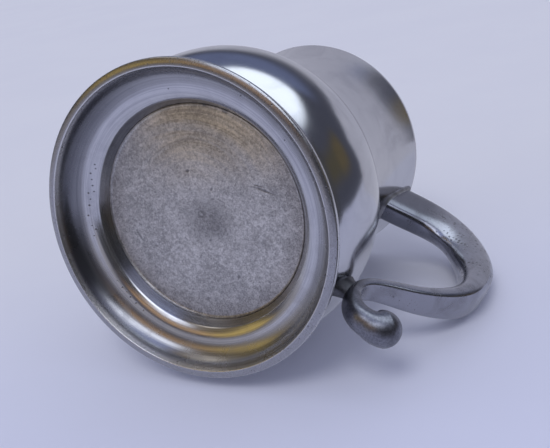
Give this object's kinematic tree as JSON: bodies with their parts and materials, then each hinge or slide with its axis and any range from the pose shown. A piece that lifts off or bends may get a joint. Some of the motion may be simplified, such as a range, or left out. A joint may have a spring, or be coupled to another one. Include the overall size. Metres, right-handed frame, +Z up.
{
  "type": "pewter mug",
  "caption": "Small bellied pewter drinking mug with a waisted neck, a spread hollow foot and a tapered scroll handle that ends in a curled knob.",
  "frame": {"origin": "middle of the whole mug's outline, handle included, on the plane that the standing ring rests on", "axes": "+Z up out of the mouth, +X towards the handle; the mug's own axis is parallel to Z at x = -0.0151 m"},
  "size_m": [0.1152, 0.085, 0.0884],
  "materials": {
    "polished_pewter": "old polish, soft gloss with fine wear",
    "foot_pewter": "turned and polished, pitted along the standing ring",
    "base_pewter": "dull grey, mottled and pitted",
    "handle_pewter": "cast and polished, soft gloss with pits",
    "solder": "dull grey"
  },
  "bodies": {
    "root": {"neck_section": "polished_pewter", "belly_bowl": "polished_pewter", "foot_ring": "foot_pewter", "base_disc": "base_pewter", "handle": "handle_pewter", "belly_seam_solder": "solder", "foot_seam_solder": "solder", "base_seam_solder": "solder", "handle_root_solder": "solder", "handle_heel_solder": "solder"}
  },
  "joints": []
}
